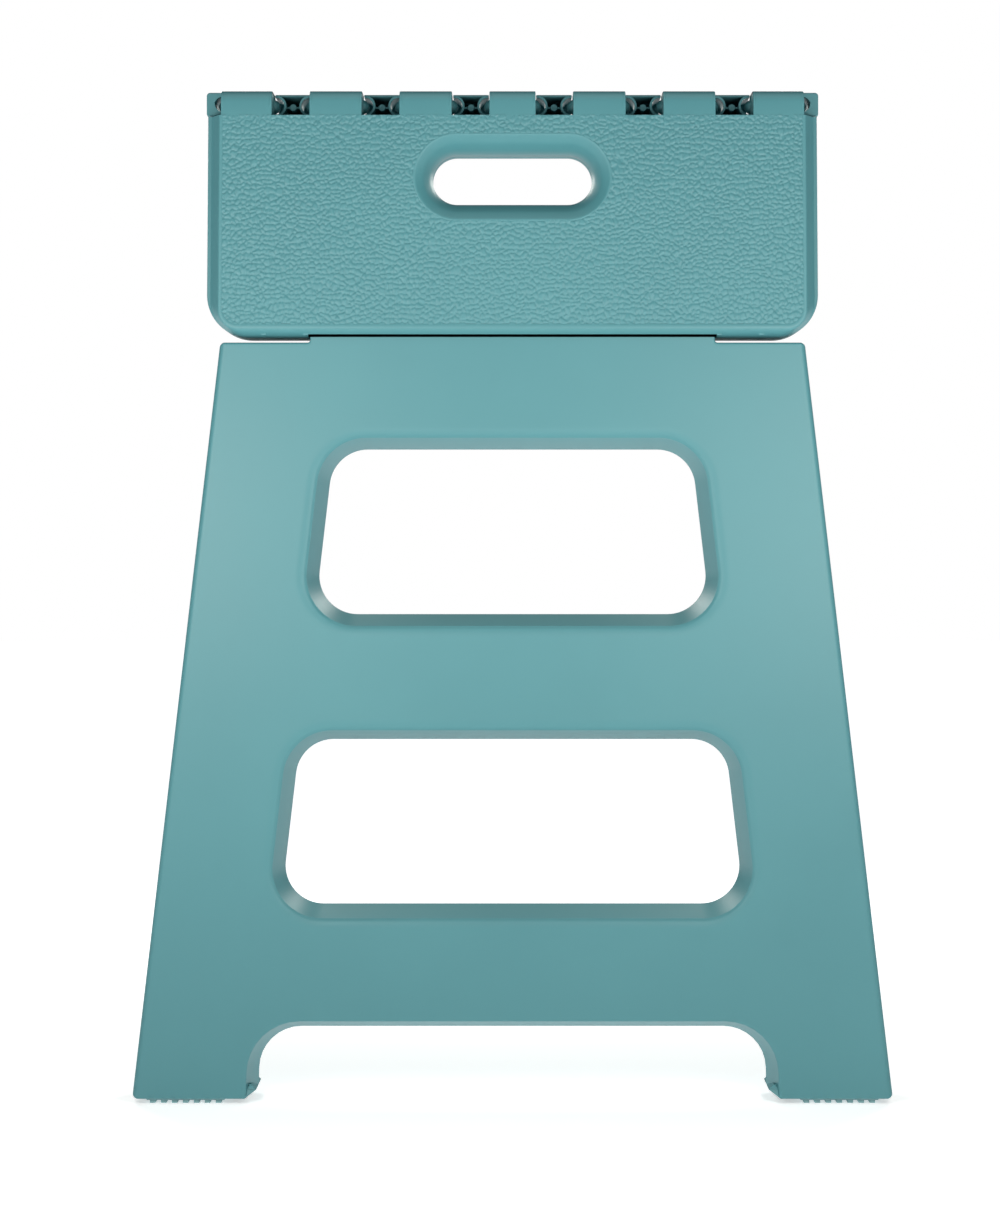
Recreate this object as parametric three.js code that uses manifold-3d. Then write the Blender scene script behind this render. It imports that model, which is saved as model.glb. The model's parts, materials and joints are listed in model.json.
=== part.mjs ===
// Folding step stool, folded flat and standing on its feet. Millimetres, +Z up, +X to the right.
// The front leg faces -Y. The origin is on the floor, midway between the feet, on the middle plane
// (y = 0) where the front and the back halves of the stool meet.
import * as THREE from "three";
import { mergeVertices } from "three/addons/utils/BufferGeometryUtils.js";
import Module from "manifold-3d";

// Overall sizes.
const seatWidth = 290;
const footWidth = 360.8; // across the leg at floor level
const pivotHeight = 376.6; // seat rods above the floor
const linkLength = 97; // from a hinge rod to the fold line it folds to, on seat and side alike
const halfThickness = 20; // middle plane to the step face

// Walls and clearances.
const plate = 2.8; // front wall of every panel
const wall = 2.5; // upright walls round the edges
const thinWall = 1.4; // hollow hinge fingers
const ribWall = 1.8; // stiffening ribs
const meetGap = 0.4; // every piece keeps this from the middle plane
const runGap = 0.8; // between pieces that swing past each other
const slimGap = 0.4; // between fingers of a hinge
const boreGap = 0.3; // round a rod or a pin
const swingGap = 0.6; // between a swinging edge and the edge it turns past
const buried = 1; // how deep a piece starts inside the one it is joined to
const past = 1; // how far a cut runs beyond what it cuts
const edgeRound = 2; // small corners of seat, arms and strips

// Seat half.
const seatOverhang = 14; // seat edge below the seat rods
const lipDrop = 1.8; // sloped border, from the grained field down to the rim
const lipSlope = 5.2; // width of that border
const seatCorner = 20;
const slotLength = 76;
const slotHeight = 23.6;
const slotDrop = 35.6; // slot centre below the hinge axis
const slotDish = 2.4; // depth of the dished surround
const slotMargin = 8.2; // width of the dished surround
const slotLedge = 1.5; // level floor of the dish beside the slot
const slotRound = 0.999; // its round ends take this share of its half height
const sideOverhang = 6.6; // seat edge past the leg's shoulder
const rodRadius = 2;
const rodWallPitch = 20; // between the two walls that hold a rod's end
const rodEnd = 1.5; // rod past the outer one
const seatRibInset = 5; // seat ribs stop this far short of the meeting faces
const seatRibDrop = 12; // upper rib below the middle of its field

// Centre hinge of the seat.
const fingerReach = 5.6; // finger tip past the hinge axis
const fingerRound = 6; // radius of the finger's outer edge
const gapCount = 6;
const firstGap = 40.3; // seat edge to the middle of the nearest gap
const gapWidth = 17.7;
const endBlockWidth = 7.4;
const domeRadius = 3.6;
const domeSink = 1; // dome centre inside the finger
const cupWall = 1.1;

// Leg panel.
const faceInset = 3.5; // leg face behind the step face
const footGap = 2.4; // bottom of the leg above the floor
const footCorner = 2.5;
const soleRise = 4; // slope of the leg's bottom edge, up towards the middle plane
const shoulderLength = 42.7; // shoulder on either side of the tab
const tabRibCount = 5;
const tabRibInset = 0.5; // tab ribs inside the round head
const footLength = 54.4; // leg edge to the arch, at floor level
const archHeight = 38.9;
const archRadius = 25;
const archDraft = 4.5;
const bottomRail = 48.2;
const middleRail = 48.3;
const topRail = 44.5;
const windowMargin = 52.7; // leg edge to the window rim
const windowRadius = 24;
const windowDraft = 6; // each side, from the leg face to the middle plane
const ribDepth = 3.4;
const ribPitchX = 60;
const ribPitchZ = 65;
const ribRoom = 4; // between the ribs and the side panel's strip

// Side panel hinges.
const barrelRoom = 1.7; // between a barrel and the leg's face behind it
const stripRoom = 2; // between a barrel and the strip's edge
const sideRodRadius = 1.5;
const barrelLength = 18;
const lugLength = 5;
const trimWidth = 6; // cut-back of the leg's edge, inwards from the strip's edge
const foldBarrelRadius = 3.5;
const foldPinRadius = 1.25;
const knuckleInset = 2; // fold barrels inside the band's ends
const pinInset = 2.5;
const sidePlate = 2.4;
const notchRadius = 9;

// Foot pads.
const padToArch = 10.4;
const padToEdge = 7;
const padRib = 2.6; // width of a rib and of the groove beside it
const padGroove = 1.4;
const padRoom = 0.35;
const soleHeight = 8;
const soleInset = 2; // pad and sole short of the meeting face

// How finely curves are cut, and the colours.
const arcSteps = 3;
const edgeSteps = 2; // small corners
const fineSteps = 4; // seat outline, slot and rounded heads
const barSteps = 5;
const rodSides = 20;
const ballSides = 8;
const ballRings = 5;
const teal = 0x68a5ae;
const tealRoughness = 0.5;
const padColour = 0xa3d0d2;
const padRoughness = 0.7;
const steelColour = 0xb4b8ba;
const steelRoughness = 0.35;

const wasm = await Module();
wasm.setup();

// ---- Sizes worked out from the values above.
const faceY = -(halfThickness - faceInset);
const plateBackY = faceY + plate;
const barrelRadius = (-plateBackY - barrelRoom) / 3;
const pivotInset = 2 * barrelRadius; // seat and side rods from the middle plane
const stripStart = barrelRadius + stripRoom; // side panel starts this far inside its rod
const stripWidth = windowMargin - wall - pivotInset - stripStart;
const sideDepth = -plateBackY - ribDepth - runGap - meetGap;
const shoulderWidth = seatWidth - 2 * sideOverhang;
const tabWidth = shoulderWidth - 2 * shoulderLength;
const rodReach = tabWidth / 2 + runGap + rodWallPitch + wall + rodEnd;
const gapPitch = (seatWidth - 2 * firstGap) / (gapCount - 1);
const archHalf = footWidth / 2 - footLength;
const padInner = archHalf + padToArch;
const padWidth = footLength - padToArch - padToEdge;
const stepY = -halfThickness;
const lipY = stepY + lipDrop;
const seatEdgeZ = pivotHeight - seatOverhang;
const hingeZ = pivotHeight + linkLength;
const seatTopZ = hingeZ - fingerReach - runGap;
const sweep = Math.hypot(seatOverhang, pivotInset - meetGap);
const shoulderZ = pivotHeight - sweep - swingGap;
// End blocks reach this far past the middle plane, and clear the side panels when open.
const blockReach = pivotHeight - pivotInset - shoulderZ + runGap;
const tabRadius = -pivotInset - faceY;
const edgeSlope = (footWidth - shoulderWidth) / 2 / shoulderZ;
const edgeCos = 1 / Math.hypot(1, edgeSlope);
const edgeSin = edgeSlope * edgeCos;
const rails = bottomRail + middleRail + topRail;
const windowHeight = (shoulderZ - archHeight - rails) / 2;
const lowerWindowZ = archHeight + bottomRail;
const upperWindowZ = lowerWindowZ + windowHeight + middleRail;

// X of a line that runs along the leg's edge, a given distance inside it.
function edgeX(z, inset = 0) {
  return footWidth / 2 - edgeSlope * z - inset / edgeCos;
}

// ---- Solids.

// A closed solid from a three.js geometry.
function solidOf(geometry) {
  const loose = geometry.index ? geometry.toNonIndexed() : geometry;
  const bare = new THREE.BufferGeometry();
  bare.setAttribute("position", loose.getAttribute("position"));
  const merged = mergeVertices(bare, 1e-4);
  const vertProperties = merged.getAttribute("position").array;
  const triVerts = new Uint32Array(merged.index.array);
  return new wasm.Manifold(new wasm.Mesh({ numProp: 3, vertProperties, triVerts }));
}

function joined(solids) {
  return solids.reduce((sum, next) => sum.add(next));
}

// A solid's surface as a three.js geometry.
function geometryOf(solid) {
  const mesh = solid.getMesh();
  const geometry = new THREE.BufferGeometry();
  geometry.setAttribute("position", new THREE.BufferAttribute(mesh.vertProperties, 3));
  geometry.setIndex(new THREE.BufferAttribute(mesh.triVerts, 1));
  return geometry;
}

// The same solid seen in a mirror: across X = 0 or across Y = 0.
function mirrored(solid, acrossX, acrossY) {
  const geometry = geometryOf(solid);
  geometry.scale(acrossX ? -1 : 1, acrossY ? -1 : 1, 1);
  if (acrossX !== acrossY) {
    const index = geometry.index.array;
    for (let i = 0; i < index.length; i += 3) {
      [index[i + 1], index[i + 2]] = [index[i + 2], index[i + 1]];
    }
  }
  return solidOf(geometry);
}

// An outline whose corners, listed anticlockwise as [x, y, radius], are rounded by arcs.
function rounded(corners) {
  const shape = new THREE.Shape();
  corners.forEach(([x, y, radius = 0], i) => {
    const before = corners.at(i - 1);
    const after = corners[(i + 1) % corners.length];
    const corner = new THREE.Vector2(x, y);
    const toBefore = new THREE.Vector2(before[0] - x, before[1] - y).normalize();
    const toAfter = new THREE.Vector2(after[0] - x, after[1] - y).normalize();
    if (radius <= 0) {
      if (i === 0) shape.moveTo(x, y);
      else shape.lineTo(x, y);
      return;
    }
    const half = Math.acos(THREE.MathUtils.clamp(toBefore.dot(toAfter), -1, 1)) / 2;
    const centre = toBefore.clone().add(toAfter).normalize();
    centre.multiplyScalar(radius / Math.sin(half)).add(corner);
    const start = toBefore.clone().multiplyScalar(radius / Math.tan(half)).add(corner);
    const end = toAfter.clone().multiplyScalar(radius / Math.tan(half)).add(corner);
    if (i > 0) shape.lineTo(start.x, start.y);
    const from = start.sub(centre).angle();
    const to = end.sub(centre).angle();
    const clockwise = toBefore.cross(toAfter) > 0;
    shape.absarc(centre.x, centre.y, radius, from, to, clockwise);
  });
  return shape;
}

// An outline from its right half, listed upwards; the left half is its mirror image.
function symmetric(rightCorners) {
  const leftCorners = rightCorners.map(([x, y, radius]) => [-x, y, radius]).reverse();
  return rounded([...rightCorners, ...leftCorners]);
}

// An XZ outline extruded between two Y planes.
function slab(shape, yFront, yBack, steps = arcSteps) {
  const options = { depth: yBack - yFront, bevelEnabled: false, curveSegments: steps };
  const geometry = new THREE.ExtrudeGeometry(shape, options);
  return solidOf(geometry.rotateX(Math.PI / 2).translate(0, yBack, 0));
}

// An XZ outline that starts full size at yBack and widens by draft up to yFront, then runs on.
function flared(shape, yFront, yBack, draft, steps = arcSteps) {
  const options = {
    depth: halfThickness,
    bevelThickness: yBack - yFront,
    bevelSize: draft,
    bevelSegments: 1,
    curveSegments: steps,
  };
  const geometry = new THREE.ExtrudeGeometry(shape, options);
  return solidOf(geometry.rotateX(Math.PI / 2).translate(0, yFront, 0));
}

// A YZ outline extruded between two X planes.
const alongX = new THREE.Matrix4().makeBasis(
  new THREE.Vector3(0, 1, 0),
  new THREE.Vector3(0, 0, 1),
  new THREE.Vector3(1, 0, 0),
);
function bar(shape, xLow, xHigh, steps = arcSteps) {
  const options = { depth: xHigh - xLow, bevelEnabled: false, curveSegments: steps };
  const geometry = new THREE.ExtrudeGeometry(shape, options);
  return solidOf(geometry.applyMatrix4(alongX).translate(xLow, 0, 0));
}

function box(xLow, xHigh, yLow, yHigh, zLow, zHigh) {
  const geometry = new THREE.BoxGeometry(xHigh - xLow, yHigh - yLow, zHigh - zLow);
  const middle = [(xLow + xHigh) / 2, (yLow + yHigh) / 2, (zLow + zHigh) / 2];
  return solidOf(geometry.translate(...middle));
}

function rodAlongX(radius, y, z, xLow, xHigh) {
  const geometry = new THREE.CylinderGeometry(radius, radius, xHigh - xLow, rodSides);
  return solidOf(geometry.rotateZ(Math.PI / 2).translate((xLow + xHigh) / 2, y, z));
}

function ball(radius, x, y, z) {
  const geometry = new THREE.SphereGeometry(radius, ballSides, ballRings);
  return solidOf(geometry.rotateZ(Math.PI / 2).translate(x, y, z));
}

// ---- The right-hand side rod's own frame: x outwards from the rod, y backwards, z up along it.
const sideFrame = new THREE.Matrix4()
  .makeBasis(
    new THREE.Vector3(edgeCos, 0, edgeSin),
    new THREE.Vector3(0, 1, 0),
    new THREE.Vector3(-edgeSin, 0, edgeCos),
  )
  .setPosition(edgeX(0, pivotInset), -pivotInset, 0);

// A section in that frame's x and y, carried along the rod.
function alongEdge(shape, low, high, steps = arcSteps) {
  const options = { depth: high - low, bevelEnabled: false, curveSegments: steps };
  const geometry = new THREE.ExtrudeGeometry(shape, options).translate(0, 0, low);
  return solidOf(geometry.applyMatrix4(sideFrame));
}

// A panel outline in that frame's -x and z, between two of its y planes.
function alongPanel(shape, yLow, yHigh, steps = arcSteps) {
  const options = { depth: yHigh - yLow, bevelEnabled: false, curveSegments: steps };
  const geometry = new THREE.ExtrudeGeometry(shape, options);
  geometry.rotateX(Math.PI / 2).translate(0, yHigh, 0);
  return solidOf(geometry.applyMatrix4(sideFrame));
}

function rectangle(xLow, xHigh, yLow, yHigh, radius = 0) {
  return rounded([
    [xLow, yLow, radius],
    [xHigh, yLow, radius],
    [xHigh, yHigh, radius],
    [xLow, yHigh, radius],
  ]);
}

function roundBar(radius, x, y, low, high) {
  const circle = new THREE.Shape();
  circle.absarc(x, y, radius, 0, Math.PI * 2);
  return alongEdge(circle, low, high, barSteps);
}

// Height along the rod at which a point, so far inside it, is at height z in the folded stool.
function alongAt(z, inside) {
  return (z + inside * edgeSin) / edgeCos;
}

// The three hinge bands of a side half, between the windows, as heights along the rod.
const bandClear = wall + runGap;
const notchInside = stripStart + stripWidth;
const bands = [
  [
    alongAt(archHeight + bandClear, linkLength),
    alongAt(lowerWindowZ - bandClear, notchInside),
  ],
  [
    alongAt(lowerWindowZ + windowHeight + bandClear, linkLength),
    alongAt(upperWindowZ - bandClear, notchInside),
  ],
  [
    alongAt(upperWindowZ + windowHeight + bandClear, linkLength),
    alongAt(shoulderZ - bandClear, stripStart),
  ],
];
const bandMiddle = ([low, high]) => (low + high) / 2;

// ---- Leg panel.

// Trapezoid window with its sides along the leg's edges, grown or shrunk by a margin.
function windowOutline(zLow, grow) {
  const low = zLow + windowDraft - grow;
  const high = zLow + windowHeight - windowDraft + grow;
  const inset = windowMargin + windowDraft - grow;
  const radius = windowRadius - windowDraft + grow;
  return symmetric([
    [edgeX(low, inset), low, radius],
    [edgeX(high, inset), high, radius],
  ]);
}

// Arch between the feet, open at the bottom.
function archOutline(grow) {
  const half = archHalf - archDraft + grow;
  const top = archHeight - archDraft + grow;
  return symmetric([
    [half + past, -top, 0],
    [half, top, archRadius - archDraft + grow],
  ]);
}

function legOutline(inset, bottom) {
  return symmetric([
    [edgeX(bottom, inset), bottom, inset ? 0 : footCorner],
    [edgeX(shoulderZ - inset, inset), shoulderZ - inset, footCorner],
    [tabWidth / 2 - inset, shoulderZ - inset, 0],
    [tabWidth / 2 - inset, pivotHeight + tabRadius + wall, 0],
  ]);
}

// Side view of the tab: its face runs up into a round head about the rod.
function tabHead(radius, yBack) {
  const shape = new THREE.Shape();
  shape.moveTo(yBack, shoulderZ - wall);
  shape.lineTo(yBack, pivotHeight);
  shape.absarc(-pivotInset, pivotHeight, radius, 0, Math.PI, false);
  shape.lineTo(-pivotInset - radius, shoulderZ - wall);
  return shape;
}

function legTab() {
  const half = tabWidth / 2;
  const head = bar(tabHead(tabRadius, -pivotInset + tabRadius), -half, half, fineSteps);
  const hollow = bar(tabHead(tabRadius - wall, 0), -half + wall, half - wall, fineSteps);
  const back = box(-half, half, -meetGap, halfThickness, 0, hingeZ);
  const openBack = box(-half + wall, half - wall, -pivotInset, 0, 0, pivotHeight);
  const ribShape = tabHead(tabRadius - tabRibInset, -pivotInset + tabRadius);
  const ribs = Array.from({ length: tabRibCount }, (_, i) => {
    const x = ((i + 1) / (tabRibCount + 1)) * tabWidth - half;
    return bar(ribShape, x - wall / 2, x + wall / 2);
  });
  return joined([head.subtract(hollow).subtract(openBack), ...ribs]).subtract(back);
}

// Shallow ribs on the back of the leg's face, in the rows and columns that show through as sinks.
function legRibs() {
  const frontY = faceY + buried;
  const backY = plateBackY + ribDepth;
  const columns = [];
  const columnCount = Math.floor(footWidth / 2 / ribPitchX);
  for (let i = -columnCount; i <= columnCount; i += 1) {
    const x = i * ribPitchX;
    columns.push(box(x - ribWall / 2, x + ribWall / 2, frontY, backY, 0, shoulderZ - buried));
  }
  const rowCount = Math.floor(shoulderZ / ribPitchZ);
  for (let i = 1; i <= rowCount; i += 1) {
    const z = footGap + i * ribPitchZ;
    const half = footWidth / 2;
    columns.push(box(-half, half, frontY, backY, z - ribWall / 2, z + ribWall / 2));
  }
  return joined(columns);
}

// Lugs that hold one side rod, a pair at each hinge band.
function rightLugs() {
  const profile = new THREE.Shape();
  const root = plateBackY + pivotInset - buried;
  profile.moveTo(-barrelRadius, root);
  profile.lineTo(barrelRadius, root);
  profile.lineTo(barrelRadius, 0);
  profile.absarc(0, 0, barrelRadius, 0, Math.PI, false);
  const lugs = bands.flatMap((band) => {
    const middle = bandMiddle(band);
    const near = barrelLength / 2 + slimGap;
    return [
      alongEdge(profile, middle - near - lugLength, middle - near, edgeSteps),
      alongEdge(profile, middle + near, middle + near + lugLength, edgeSteps),
    ];
  });
  return joined(lugs);
}

// The sole plate over each pad and the two walls beside it.
function rightSole() {
  const front = faceY + buried;
  const backY = -meetGap - soleInset;
  const inner = padInner - padRoom;
  const outer = padInner + padWidth + padRoom;
  return joined([
    box(inner - wall, outer + wall, front, backY, soleHeight, soleHeight + wall),
    box(inner - wall, inner, front, backY, footGap, soleHeight + buried),
    box(outer, outer + wall, front, backY, footGap, soleHeight + buried),
  ]);
}

function bothSides(solid) {
  return solid.add(mirrored(solid, true, false));
}

function frontLeg() {
  const windows = [lowerWindowZ, upperWindowZ];
  const outside = slab(legOutline(0, footGap), faceY, -meetGap);
  const walls = joined([
    ...windows.map((z) => flared(windowOutline(z, wall), faceY, 0, windowDraft)),
    flared(archOutline(wall), faceY, 0, archDraft),
  ]);
  const hollow = slab(legOutline(wall, -footGap), plateBackY, halfThickness);
  const ribArea = slab(legOutline(stripStart + pivotInset + ribRoom, soleHeight), faceY, 0);
  const ribs = legRibs().intersect(ribArea);
  const inside = joined([
    walls.intersect(outside),
    ribs.intersect(outside),
    bothSides(rightLugs()),
    bothSides(rightSole()),
  ]);
  const flangeTrim = alongPanel(
    rectangle(-stripStart - trimWidth, pivotInset + past, 0, alongAt(shoulderZ - wall, 0)),
    stripStart - swingGap,
    halfThickness,
  );
  const sideBore = roundBar(sideRodRadius + boreGap, 0, 0, 0, alongAt(shoulderZ - buried, 0));
  const soleCut = new THREE.Shape([
    new THREE.Vector2(faceY - past, footGap - past),
    new THREE.Vector2(faceY, footGap),
    new THREE.Vector2(0, footGap + soleRise),
    new THREE.Vector2(0, footGap - past),
  ]);
  const cuts = joined([
    ...windows.map((z) => flared(windowOutline(z, 0), faceY, meetGap, windowDraft)),
    flared(archOutline(0), faceY, meetGap, archDraft),
    bothSides(flangeTrim),
    bothSides(sideBore),
    bar(soleCut, -footWidth, footWidth),
  ]);
  const tabTop = box(-seatWidth, seatWidth, -halfThickness, 0, shoulderZ, hingeZ);
  const body = outside.subtract(hollow).subtract(tabTop).add(inside);
  const rodBore = rodAlongX(rodRadius + boreGap, -pivotInset, pivotHeight, -tabWidth, tabWidth);
  return body.add(legTab()).subtract(cuts).subtract(rodBore);
}

// ---- Seat half.

function seatOutline(inset) {
  const half = seatWidth / 2 - inset;
  return symmetric([
    [half, seatEdgeZ + inset, seatCorner - inset],
    [half, seatTopZ - inset, inset ? edgeRound : 0],
  ]);
}

function slotOutline(grow) {
  const radius = slotHeight / 2 + grow;
  const half = slotLength / 2 + grow;
  const middle = hingeZ - slotDrop;
  return rectangle(-half, half, middle - radius, middle + radius, radius * slotRound);
}

// Side view of a hinge finger, from inside the seat to the round tip about the hinge axis.
function fingerProfile() {
  const shape = new THREE.Shape();
  const root = seatTopZ - wall;
  const topZ = hingeZ + fingerReach;
  shape.moveTo(lipY, root);
  shape.lineTo(-meetGap, root);
  shape.lineTo(-meetGap, hingeZ - fingerReach);
  shape.absarc(0, hingeZ, fingerReach, -Math.PI / 2, Math.PI / 2, false);
  shape.absarc(lipY + fingerRound, topZ - fingerRound, fingerRound, Math.PI / 2, Math.PI, false);
  return shape;
}

// Side view of an end block, which runs on past the middle plane under the other half's face.
function blockProfile() {
  const root = seatTopZ - wall;
  const topZ = hingeZ + fingerReach;
  return rounded([
    [lipY, root, 0],
    [-meetGap, root, 0],
    [-meetGap, hingeZ - fingerReach, 0],
    [blockReach, hingeZ - fingerReach, 0],
    [blockReach, topZ, edgeRound],
    [lipY, topZ, fingerRound],
  ]);
}

// What the end blocks sweep as the halves open, cut from the other half's side walls.
function blockRoom() {
  const sweepRadius = Math.hypot(blockReach, fingerReach) + runGap;
  const half = seatWidth / 2 + past;
  return bothSides(
    box(fingerSpan, half, stepY + plate, past, hingeZ - sweepRadius, seatTopZ + past),
  );
}

// A hollow finger between two X planes, open towards the middle plane.
function finger(xLow, xHigh) {
  const outer = bar(fingerProfile(), xLow, xHigh);
  const pocket = box(
    xLow + thinWall,
    xHigh - thinWall,
    lipY + wall,
    halfThickness,
    seatTopZ + thinWall,
    hingeZ + fingerReach - thinWall,
  );
  return outer.subtract(pocket);
}

const gapCentres = Array.from({ length: gapCount }, (_, i) => (i - (gapCount - 1) / 2) * gapPitch);
const fingerSpan = seatWidth / 2 - endBlockWidth;

// Fingers of the front half: the stretches between the gaps.
function frontFingerSpans() {
  const edges = gapCentres.flatMap((x) => [x - gapWidth / 2, x + gapWidth / 2]);
  const stops = [-fingerSpan, ...edges, fingerSpan];
  return Array.from({ length: gapCount + 1 }, (_, i) => [stops[2 * i], stops[2 * i + 1]]);
}

function frontFingers() {
  const spans = frontFingerSpans();
  const domes = spans.flatMap(([low, high]) => [
    ball(domeRadius, low + domeSink, 0, hingeZ),
    ball(domeRadius, high - domeSink, 0, hingeZ),
  ]);
  const shells = spans.map(([low, high]) => finger(low, high));
  return joined([...shells, ...domes]);
}

// Fingers of the back half, built facing the front: hollow blocks in the gaps, with cups for the
// domes in their sides, and a solid block at each end.
function backFingers() {
  const spans = gapCentres.map((x) => [
    x - gapWidth / 2 + slimGap,
    x + gapWidth / 2 - slimGap,
  ]);
  const end = fingerSpan + slimGap;
  const blocks = [
    [-seatWidth / 2, -end],
    [end, seatWidth / 2],
  ].map(([low, high]) => bar(blockProfile(), low, high));
  const outwards = domeSink + slimGap;
  const fingerCups = spans.flatMap(([low, high]) => [low - outwards, high + outwards]);
  const blockCups = [-end + outwards, end - outwards];
  const cupRadius = domeRadius + boreGap;
  const inFingers = joined(spans.map(([low, high]) => bar(fingerProfile(), low, high)));
  const cupShells = joined(
    fingerCups.map((x) => ball(cupRadius + cupWall, x, 0, hingeZ)),
  ).intersect(inFingers);
  const cups = joined([...fingerCups, ...blockCups].map((x) => ball(cupRadius, x, 0, hingeZ)));
  const shells = spans.map(([low, high]) => finger(low, high));
  return joined([...shells, ...blocks, cupShells]).subtract(cups);
}

function seatRibs() {
  const backY = -meetGap - seatRibInset;
  const front = stepY + plate - buried;
  const half = seatWidth / 2 - buried;
  const tabTopZ = pivotHeight + tabRadius + runGap;
  const topZ = seatTopZ - buried;
  const ribs = gapCentres.map((x) =>
    box(x - ribWall / 2, x + ribWall / 2, front, backY, tabTopZ, topZ),
  );
  const rows = [tabTopZ + wall / 2, (tabTopZ + hingeZ) / 2 - seatRibDrop];
  rows.forEach((z) => ribs.push(box(-half, half, front, backY, z - wall / 2, z + wall / 2)));
  return joined(ribs);
}

// Walls on either side of the leg's tab that carry the ends of the rod.
function rodWalls() {
  const start = tabWidth / 2 + runGap;
  const topZ = pivotHeight + tabRadius + runGap + wall;
  const walls = [start, start + rodWallPitch].map((x) =>
    box(x, x + wall, stepY + buried, -meetGap, seatEdgeZ + buried, topZ),
  );
  return bothSides(joined(walls));
}

function seatHalf(fingers) {
  const core = slab(seatOutline(0), lipY, -meetGap, fineSteps);
  const border = new THREE.ExtrudeGeometry(seatOutline(lipSlope), {
    depth: lipDrop,
    bevelThickness: lipDrop,
    bevelSize: lipSlope,
    bevelSegments: 1,
    curveSegments: fineSteps,
  });
  const top = solidOf(border.rotateX(Math.PI / 2).translate(0, stepY + 2 * lipDrop, 0));
  const outside = joined([core, top]);
  const backOfPlate = stepY + plate;
  const hollow = slab(seatOutline(wall), backOfPlate, halfThickness, fineSteps);
  const slotWall = slab(slotOutline(wall), stepY + buried, -meetGap, fineSteps);
  const ledge = slotOutline(slotLedge);
  const slope = slotMargin - slotLedge;
  const dish = flared(ledge, stepY, stepY + slotDish, slope, fineSteps);
  const dishWall = flared(ledge, backOfPlate, backOfPlate + slotDish, slope, fineSteps);
  const slot = slab(slotOutline(0), stepY - past, halfThickness, fineSteps);
  const half = tabWidth / 2 + runGap;
  const tabRoomZ = pivotHeight + tabRadius + runGap;
  const tabNotch = box(-half, half, backOfPlate, 0, seatEdgeZ - past, tabRoomZ);
  const floorBand = box(-seatWidth, seatWidth, stepY + buried, 0, seatEdgeZ, seatTopZ);
  const supports = joined([
    slotWall,
    dishWall.intersect(floorBand),
    seatRibs(),
    rodWalls(),
  ]).intersect(core);
  const body = outside.subtract(hollow).add(supports);
  const boreReach = rodReach + runGap;
  const bore = rodAlongX(rodRadius + boreGap, -pivotInset, pivotHeight, -boreReach, boreReach);
  const cuts = joined([slot, dish, tabNotch, bore]);
  return body.subtract(cuts).add(fingers);
}

// ---- Side panel half, built as the right-hand front one in the side rod's frame.

// Outline with its strip beside the rod and one arm to the fold line at each band.
function sideOutline(inset, armEnd) {
  const outer = -stripStart - inset;
  const inner = -stripStart - stripWidth + inset;
  const end = -armEnd;
  const bottom = alongAt(soleHeight + wall + runGap, notchInside);
  const convex = inset ? 0 : edgeRound;
  const hollowRadius = notchRadius + inset;
  const corners = [[outer, bottom + inset, convex]];
  const top = bands[2][1] - inset;
  corners.push([outer, top, convex]);
  [...bands].reverse().forEach(([low, high], i) => {
    if (i > 0) corners.push([inner, high - inset, hollowRadius]);
    corners.push([end, high - inset, convex]);
    corners.push([end, low + inset, convex]);
    corners.push([inner, low + inset, hollowRadius]);
  });
  corners.push([inner, bottom + inset, convex]);
  return rounded(corners);
}

// The three barrels at one band of the fold line, as [low, high] along the rod.
function foldBarrels([low, high]) {
  const start = low + knuckleInset;
  const length = (high - low - 2 * knuckleInset - 2 * slimGap) / 3;
  return [0, 1, 2].map((i) => {
    const from = start + i * (length + slimGap);
    return [from, from + length];
  });
}

// ownsMiddle says whether this half has the middle barrel or the two outer ones.
function sideHalf(ownsMiddle) {
  const exteriorY = pivotInset - meetGap;
  const interiorY = exteriorY - sideDepth;
  const armEnd = linkLength - meetGap;
  const notchEnd = linkLength - foldBarrelRadius - runGap;
  const outside = alongPanel(sideOutline(0, armEnd), interiorY, exteriorY, edgeSteps);
  const pocket = alongPanel(
    sideOutline(wall, notchEnd - wall),
    interiorY - past,
    exteriorY - sidePlate,
    edgeSteps,
  );
  const rib = (xLow, xHigh, low, high) =>
    alongEdge(rectangle(xLow, xHigh, interiorY + runGap, exteriorY - buried), low, high);
  const ribs = bands.map((band) => {
    const middle = bandMiddle(band);
    return rib(-notchEnd, -stripStart - buried, middle - ribWall / 2, middle + ribWall / 2);
  });
  const barrels = bands.map((band) => {
    const middle = bandMiddle(band);
    const reach = barrelLength / 2;
    const web = rectangle(-stripStart - wall, 0, -barrelRadius, barrelRadius);
    return roundBar(barrelRadius, 0, 0, middle - reach, middle + reach).add(
      alongEdge(web, middle - reach, middle + reach),
    );
  });
  const rodBore = roundBar(sideRodRadius + boreGap, 0, 0, 0, alongAt(shoulderZ, 0));
  const notches = [];
  const foldKnuckles = [];
  const pinBores = [];
  bands.forEach((band) => {
    foldBarrels(band).forEach(([low, high], i) => {
      const mine = (i === 1) === ownsMiddle;
      if (mine) {
        const foot = rectangle(-linkLength, -notchEnd, exteriorY - sidePlate, exteriorY);
        foldKnuckles.push(roundBar(foldBarrelRadius, -linkLength, pivotInset, low, high));
        foldKnuckles.push(alongEdge(foot, low, high));
      } else {
        const room = rectangle(-linkLength, -notchEnd, interiorY - past, exteriorY + past);
        notches.push(alongEdge(room, low - slimGap, high + slimGap));
      }
    });
    const pin = foldPinRadius + boreGap;
    pinBores.push(roundBar(pin, -linkLength, pivotInset, ...band));
  });
  const body = outside.subtract(pocket).add(joined(ribs)).subtract(joined(notches));
  return joined([body, ...barrels, ...foldKnuckles]).subtract(joined([rodBore, ...pinBores]));
}

// ---- Rods, pins and pads.

function seatRod() {
  return rodAlongX(rodRadius, -pivotInset, pivotHeight, -rodReach, rodReach);
}

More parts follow.
